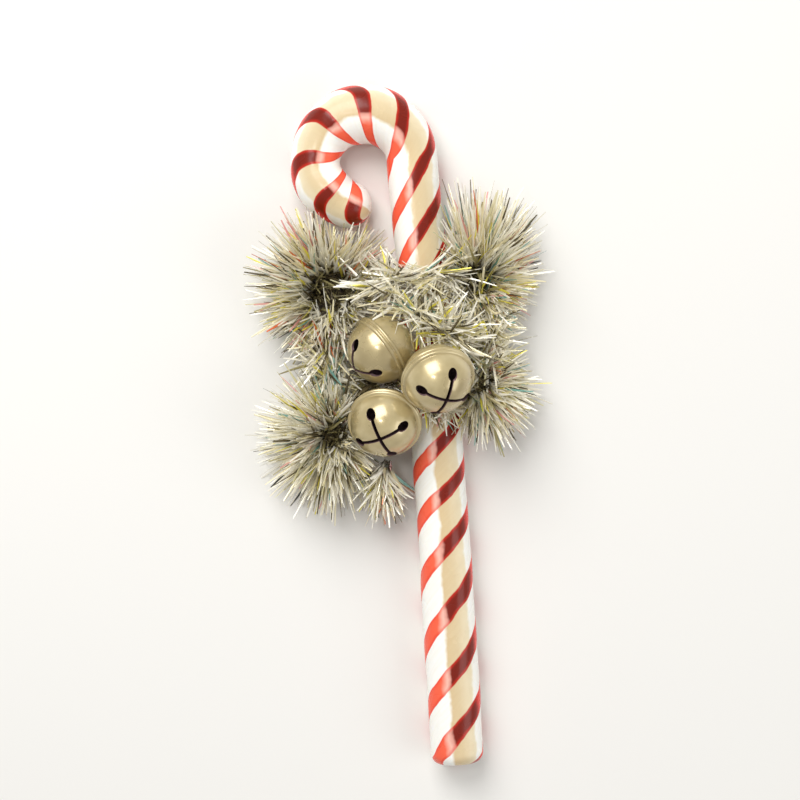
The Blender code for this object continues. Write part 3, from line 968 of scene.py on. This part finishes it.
class CANDYCANE_OT_tinsel(bpy.types.Operator):
    """Make the tinsel garland: four loops, the runs between them and the tail, strand by strand"""

    bl_idname = "candycane.tinsel"
    bl_label = "Tinsel garland"

    def execute(self, context):
        bow = settings()
        foil, roots = tinsel_foil(), painted_root_shade()
        common = {"tree": strand_tree(blockers()), "Material": foil, "Width": bow.strand_width}
        for name, (_, _, _, tones, seed) in LOOPS.items():
            path = loop_path(name)
            fan = {"Strands": bow.loop_strands, "Seed": seed, "Lowest Angle": -0.4, "Highest Angle": 1.35}
            fan |= {"Lowest Tone": tones[0], "Highest Tone": tones[1]}
            strands_on(f"strands_{name}", path.copy(), common | fan, [name])
            # Painted shade: short khaki and umber strands in the hub keep each loop's middle dark
            hub = {
                "Strands": bow.loop_strands // 5,
                "Seed": seed + 50,
                "Lowest Angle": 1.3,
                "Highest Angle": 2.7,
                "Length Share": 0.42,
                "Lowest Tone": 0.8,
                "Highest Tone": 0.9,
                "Side Spread": 0.9,
            }
            strands_on(f"hub_{name}", path, common | hub, [])
            # The loop's heart: a low mound in the dark painted shade of the roots
            finish_piece(f"heart_{name}", heart_mesh(name, seed), roots, [])
        for name, (corners, _, tones, seed) in BRIDGES.items():
            run = sum((Vector(end) - Vector(start)).length for start, end in zip(corners, corners[1:]))
            brush = {
                "Strands": int(bow.bridge_strands * run),
                "Seed": seed,
                "Lowest Angle": -0.15,
                "Highest Angle": 3.3,
                "Lowest Tone": tones[0],
                "Highest Tone": tones[1],
                "Side Spread": 1.7,
                "Root Shade": 0.3,
            }
            replaced = ["tinsel_tie"] if name == "over_shaft" else []
            strands_on(f"strands_{name}", bridge_path(name), common | brush, replaced)
        tail = {"Strands": bow.loop_strands // 5, "Seed": 41, "Lowest Angle": -0.5, "Highest Angle": 0.6}
        strands_on("strands_tail", tail_path(), common | tail, ["tinsel_tail"])
        return {"FINISHED"}


# ---------------------------------------------------------------- studio


def studio_paper():
    """Seamless studio paper: matt, pale and plain."""
    material, _, shader = new_material("studio paper")
    fill_sockets(shader, {"Base Color": linear("#EDEBE6"), "Roughness": 0.9})
    return material


def soft_box(name, at, towards, size, power):
    """One white area lamp."""
    data = bpy.data.lights.new(name, "AREA")
    data.shape = "RECTANGLE"
    data.size, data.size_y = size
    data.energy = power
    lamp = bpy.data.objects.new(name, data)
    lamp.location = at
    lamp.rotation_euler = (Vector(towards) - Vector(at)).to_track_quat("-Z", "Y").to_euler()
    bpy.context.scene.collection.objects.link(lamp)


class CANDYCANE_OT_studio(bpy.types.Operator):
    """Make the floor, the lamps and the camera that looks straight down"""

    bl_idname = "candycane.studio"
    bl_label = "Studio"

    def execute(self, context):
        studio = settings()
        bm = bmesh.new()
        bmesh.ops.create_grid(bm, x_segments=1, y_segments=1, size=2.5)
        floor = as_object("floor", bm)
        floor.data.materials.append(studio_paper())
        middle = Vector((0.0, 0.0, 0.01))
        soft_box("key", (-0.32, 0.68, 0.88), middle, (0.8, 0.8), studio.key_power)
        soft_box("fill", (0.9, -0.3, 0.7), middle, (0.7, 0.7), studio.fill_power)
        soft_box("top", (-0.24, 0.12, 1.0), middle, (0.08, 0.2), studio.top_power)
        world = bpy.data.worlds.new("studio")
        context.scene.world = world
        world.use_nodes = True
        add = partial(add_node, world.node_tree)
        # What the camera sees past the floor, and metal mirrors, is pale; what lights the cane is dimmer
        ray = add("ShaderNodeLightPath").outputs
        seen = ray["Is Camera Ray"]
        for other in ("Is Glossy Ray", "Is Transmission Ray"):
            seen = add(MATH, (seen, ray[other]), operation="MAXIMUM")
        level = add(MAP_RANGE, {"Value": seen, "To Min": studio.sky_level, "To Max": studio.backdrop_level})
        sky = world.node_tree.nodes["Background"]
        sky.inputs["Color"].default_value = (1.0, 1.0, 1.0, 1.0)
        world.node_tree.links.new(level.outputs[0], sky.inputs["Strength"])
        look_at = Vector((2.4, 9.2, 0)) * MM + SHIFT
        data = bpy.data.cameras.new("camera")
        data.lens = 100
        data.sensor_width = 36
        camera = bpy.data.objects.new("camera", data)
        distance = studio.view_width * data.lens / data.sensor_width
        camera.location = look_at + UP * (distance + SUBJECT_HEIGHT)
        context.scene.collection.objects.link(camera)
        context.scene.camera = camera
        context.scene.view_settings.view_transform = "Standard"
        return {"FINISHED"}


# ---------------------------------------------------------------- add-on


def colour_setting(name, description, default):
    return bpy.props.StringProperty(name=name, description=description, default=default)


def power_setting(name, description, default):
    return bpy.props.FloatProperty(name=name, description=description, default=default, unit="POWER")


class CandyCaneSettings(bpy.types.PropertyGroup):
    sugar_white: colour_setting("Sugar white", "sRGB hex colour of the pulled sugar", "#FFFEF7")
    # The cream painted shade on the rope's outer upper side
    sugar_shade_cream: colour_setting("Sugar cream", "sRGB hex colour of the sugar's toasted side", "#DFCBA4")
    # The dark red of the stripes' painted shade band
    stripe_shade_red: colour_setting("Stripe red", "sRGB hex colour of a stripe's middle", "#7A1803")
    # The stripes' brighter edges, and also their painted bright rims
    stripe_edge_and_rim_light: colour_setting("Stripe edge", "sRGB hex colour of a stripe's thin edges", "#E92C1D")
    bell_gold: colour_setting("Bell gold", "sRGB hex colour of the lacquered bells", "#C0AE7E")
    bell_shade: colour_setting("Bell shade", "sRGB hex colour of the lacquer's cloudy places", "#AC9A6C")
    foil_white: colour_setting("Foil white", "sRGB hex colour of the brightest strands", "#FFFBEC")
    foil_cream: colour_setting("Foil cream", "sRGB hex colour of the cream strands", "#F2E8C2")
    foil_khaki: colour_setting("Foil khaki", "sRGB hex colour of the khaki strands", "#A89E6E")
    # The umber strands are painted shade
    foil_shade_umber: colour_setting("Foil umber", "sRGB hex colour of the darkest strands", "#5C5138")
    slot_width: bpy.props.FloatProperty(
        name="Slot width", description="Width of a bell's slots", default=1.4 * MM, unit="LENGTH"
    )
    hole_radius: bpy.props.FloatProperty(
        name="Hole radius", description="Radius of the hole at a slot's end", default=1.9 * MM, unit="LENGTH"
    )
    strand_width: bpy.props.FloatProperty(
        name="Strand width", description="Width of a foil strand", default=1.45 * MM, unit="LENGTH"
    )
    loop_strands: bpy.props.IntProperty(
        name="Strands", description="Foil strands on each loop of the bow", default=1700, min=1
    )
    bridge_strands: bpy.props.FloatProperty(
        name="Strands per mm",
        description="Foil strands on each millimetre of wire between the loops",
        default=10.0,
    )
    key_power: power_setting("Key power", "Power of the main lamp", 11.0)
    fill_power: power_setting("Fill power", "Power of the fill lamp", 3.0)
    top_power: power_setting("Top power", "Power of the lamp beside the camera", 1.0)
    sky_level: bpy.props.FloatProperty(
        name="Sky level", description="Strength of the white world as a light", default=0.42, min=0.0
    )
    backdrop_level: bpy.props.FloatProperty(
        name="Backdrop level",
        description="How pale the world looks past the floor and in metal",
        default=0.65,
        min=0.0,
    )
    view_width: bpy.props.FloatProperty(
        name="View width", description="Width that the camera takes in", default=0.320, unit="LENGTH"
    )


class CANDYCANE_PT_panel(bpy.types.Panel):
    """Lists the pieces of the decorated candy cane"""

    bl_label = "Candy Cane"
    bl_idname = "CANDYCANE_PT_panel"
    bl_space_type = "VIEW_3D"
    bl_region_type = "UI"
    bl_category = "Candy Cane"

    def draw(self, context):
        for name in CandyCaneSettings.__annotations__:
            self.layout.prop(context.scene.candy_cane, name)
        for operator in OPERATORS:
            self.layout.operator(operator.bl_idname)


OPERATORS = (CANDYCANE_OT_cane, CANDYCANE_OT_bells, CANDYCANE_OT_tinsel, CANDYCANE_OT_studio)
CLASSES = (CandyCaneSettings, *OPERATORS, CANDYCANE_PT_panel)


def register():
    for item in CLASSES:
        bpy.utils.register_class(item)
    bpy.types.Scene.candy_cane = bpy.props.PointerProperty(type=CandyCaneSettings)


def unregister():
    del bpy.types.Scene.candy_cane
    for item in reversed(CLASSES):
        bpy.utils.unregister_class(item)


def main():
    register()
    bpy.ops.candycane.cane()
    bpy.ops.candycane.bells()
    bpy.ops.candycane.tinsel()
    bpy.ops.candycane.studio()


if __name__ == "__main__":
    main()
